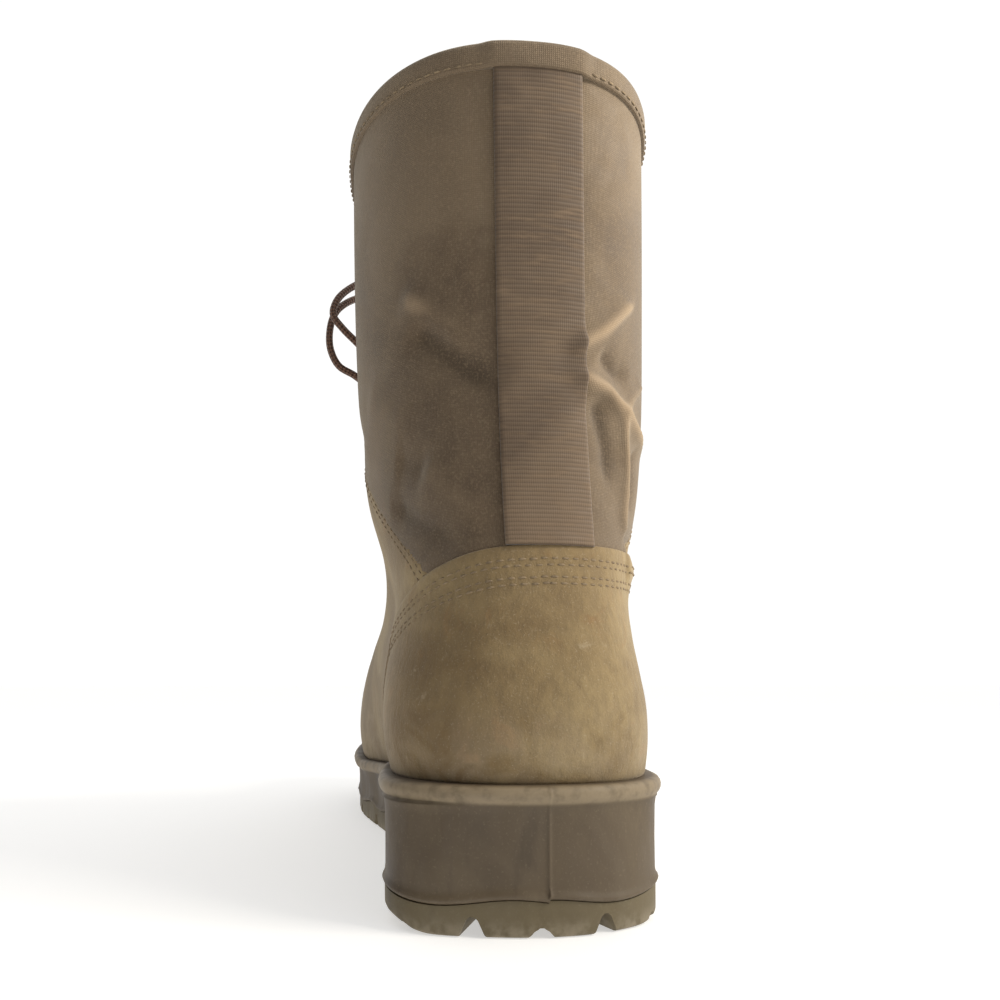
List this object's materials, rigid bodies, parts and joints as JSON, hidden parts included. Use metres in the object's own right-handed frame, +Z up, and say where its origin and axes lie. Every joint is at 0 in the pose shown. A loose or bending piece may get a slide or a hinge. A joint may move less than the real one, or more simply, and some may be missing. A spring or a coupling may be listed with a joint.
{
  "type": "combat boot",
  "caption": "Tan laced combat boot for the right foot, standing empty: suede heel counter, woven shaft with webbing backstay, hollow upper and lugged rubber sole.",
  "frame": {"origin": "bottom centre of the boot's bounding box, without the loose lace", "axes": "+Y towards the toe, +X towards the outer side of the foot, +Z up"},
  "size_m": [0.1221, 0.305, 0.2573],
  "materials": {
    "outsole": "matt, dusty tan rubber with small lugs",
    "midsole": "satin moulded rubber wall with a rounded bead",
    "insole": "felted footbed cover",
    "upper_fabric": "woven nylon with leather facings",
    "suede": "rough-out suede, mottled",
    "webbing": "finely ribbed webbing",
    "tongue_fabric": "padded woven nylon",
    "eyelet_metal": "darkened brass, satin",
    "lace": "round braided cord",
    "lace_tip": "clear-coated lace tip"
  },
  "bodies": {
    "root": {"outsole": "outsole", "midsole": "midsole", "insole": "insole", "upper": "upper_fabric", "heel_counter": "suede", "backstay_webbing": "webbing", "tongue": "tongue_fabric", "lace_crossings": "lace", "eyelet_outer_1": "eyelet_metal", "eyelet_inner_1": "eyelet_metal", "eyelet_outer_2": "eyelet_metal", "eyelet_inner_2": "eyelet_metal", "eyelet_outer_3": "eyelet_metal", "eyelet_inner_3": "eyelet_metal", "eyelet_outer_4": "eyelet_metal", "eyelet_inner_4": "eyelet_metal", "eyelet_outer_5": "eyelet_metal", "eyelet_inner_5": "eyelet_metal", "eyelet_outer_6": "eyelet_metal", "eyelet_inner_6": "eyelet_metal", "eyelet_outer_7": "eyelet_metal", "eyelet_inner_7": "eyelet_metal", "eyelet_outer_8": "eyelet_metal", "eyelet_inner_8": "eyelet_metal", "lace_knot": "lace", "lace_loop_inner": "lace", "lace_loop_outer": "lace", "lace_end_inner": "lace", "lace_end_outer": "lace", "lace_tip_inner": "lace_tip", "lace_tip_outer": "lace_tip"}
  },
  "joints": []
}
